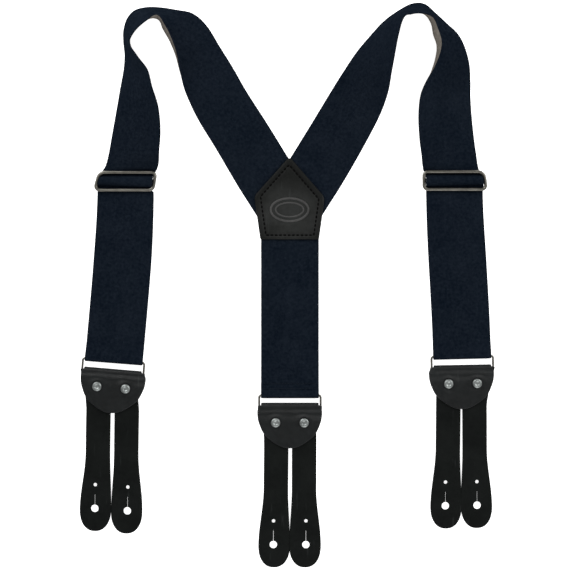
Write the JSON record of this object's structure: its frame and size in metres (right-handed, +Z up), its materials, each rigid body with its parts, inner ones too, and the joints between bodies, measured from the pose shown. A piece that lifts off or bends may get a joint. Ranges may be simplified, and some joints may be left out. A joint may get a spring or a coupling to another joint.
{
  "type": "suspenders",
  "caption": "Y-back work suspenders lying flat: wide navy webbing, leather back patch, sliding buckles, and leather button ends on wire rings.",
  "frame": {"origin": "on the surface that the suspenders lie on, under the middle of their outline", "axes": "+Z up from the surface, +Y from the button ends towards the shoulder loops, +X towards the right-hand strap as seen from above"},
  "size_m": [0.3649, 0.4966, 0.0495],
  "materials": {
    "navy_webbing": "ribbed elastic webbing",
    "patch_leather": "smooth, embossed",
    "black_leather": "smooth, cut edges",
    "gunmetal": "satin gunmetal",
    "nickel": "satin nickel"
  },
  "bodies": {
    "webbing": {"shoulder_strap_left": "navy_webbing", "shoulder_strap_right": "navy_webbing", "back_strap": "navy_webbing", "patch_front": "patch_leather", "patch_back": "patch_leather"},
    "slide_left": {"slide_frame_left": "gunmetal", "slide_bar_left": "gunmetal"},
    "slide_right": {"slide_frame_right": "gunmetal", "slide_bar_right": "gunmetal"},
    "ring_left": {"ring_left": "nickel"},
    "ring_back": {"ring_back": "nickel"},
    "ring_right": {"ring_right": "nickel"},
    "tab_left": {"flap_left": "black_leather", "rivet_left_outer": "nickel", "rivet_left_inner": "nickel", "rivet_cap_left_outer": "nickel", "rivet_cap_left_inner": "nickel"},
    "tab_back": {"flap_back": "black_leather", "rivet_back_left": "nickel", "rivet_back_right": "nickel", "rivet_cap_back_left": "nickel", "rivet_cap_back_right": "nickel"},
    "tab_right": {"flap_right": "black_leather", "rivet_right_inner": "nickel", "rivet_right_outer": "nickel", "rivet_cap_right_inner": "nickel", "rivet_cap_right_outer": "nickel"},
    "tongue_left_outer": {"tongue_left_outer": "black_leather"},
    "tongue_left_inner": {"tongue_left_inner": "black_leather"},
    "tongue_back_left": {"tongue_back_left": "black_leather"},
    "tongue_back_right": {"tongue_back_right": "black_leather"},
    "tongue_right_inner": {"tongue_right_inner": "black_leather"},
    "tongue_right_outer": {"tongue_right_outer": "black_leather"}
  },
  "joints": [
    {"name": "slide_left_travel", "type": "slide", "parent": "webbing", "child": "slide_left", "axis": [-0.0654, -0.9979, 0], "range_m": [0, 0.115], "deforming": ["shoulder_strap_left"]},
    {"name": "slide_right_travel", "type": "slide", "parent": "webbing", "child": "slide_right", "axis": [0.0414, -0.9991, 0], "range_m": [0, 0.115], "deforming": ["shoulder_strap_right"]},
    {"name": "ring_left_swing", "type": "hinge", "parent": "webbing", "child": "ring_left", "pos_m": [-0.1516, -0.06608, 0.0038], "axis": [0.9965, -0.0837, 0], "range_deg": [-85, 85]},
    {"name": "ring_back_swing", "type": "hinge", "parent": "webbing", "child": "ring_back", "pos_m": [0.003, -0.0968, 0.0038], "axis": [1, 0, 0], "range_deg": [-85, 85]},
    {"name": "ring_right_swing", "type": "hinge", "parent": "webbing", "child": "ring_right", "pos_m": [0.15418, -0.0625, 0.0038], "axis": [0.9998, 0.0174, 0], "range_deg": [-85, 85]},
    {"name": "tab_left_swing", "type": "hinge", "parent": "ring_left", "child": "tab_left", "pos_m": [-0.15252, -0.07705, 0.0038], "axis": [0.9965, -0.0837, 0], "range_deg": [-90, 90]},
    {"name": "tab_back_swing", "type": "hinge", "parent": "ring_back", "child": "tab_back", "pos_m": [0.003, -0.1078, 0.0038], "axis": [1, 0, 0], "range_deg": [-90, 90]},
    {"name": "tab_right_swing", "type": "hinge", "parent": "ring_right", "child": "tab_right", "pos_m": [0.15438, -0.0735, 0.0038], "axis": [0.9998, 0.0174, 0], "range_deg": [-90, 90]},
    {"name": "tongue_left_outer_spread", "type": "hinge", "parent": "tab_left", "child": "tongue_left_outer", "pos_m": [-0.16606, -0.08885, 0.0038], "axis": [0, 0, 1], "range_deg": [-15, 0]},
    {"name": "tongue_left_inner_spread", "type": "hinge", "parent": "tab_left", "child": "tongue_left_inner", "pos_m": [-0.14114, -0.09095, 0.0038], "axis": [0, 0, 1], "range_deg": [0, 15]},
    {"name": "tongue_back_left_spread", "type": "hinge", "parent": "tab_back", "child": "tongue_back_left", "pos_m": [-0.0095, -0.1207, 0.0038], "axis": [0, 0, 1], "range_deg": [-15, 0]},
    {"name": "tongue_back_right_spread", "type": "hinge", "parent": "tab_back", "child": "tongue_back_right", "pos_m": [0.0155, -0.1207, 0.0038], "axis": [0, 0, 1], "range_deg": [0, 15]},
    {"name": "tongue_right_inner_spread", "type": "hinge", "parent": "tab_right", "child": "tongue_right_inner", "pos_m": [0.1421, -0.08662, 0.0038], "axis": [0, 0, 1], "range_deg": [-15, 0]},
    {"name": "tongue_right_outer_spread", "type": "hinge", "parent": "tab_right", "child": "tongue_right_outer", "pos_m": [0.1671, -0.08618, 0.0038], "axis": [0, 0, 1], "range_deg": [0, 15]}
  ]
}
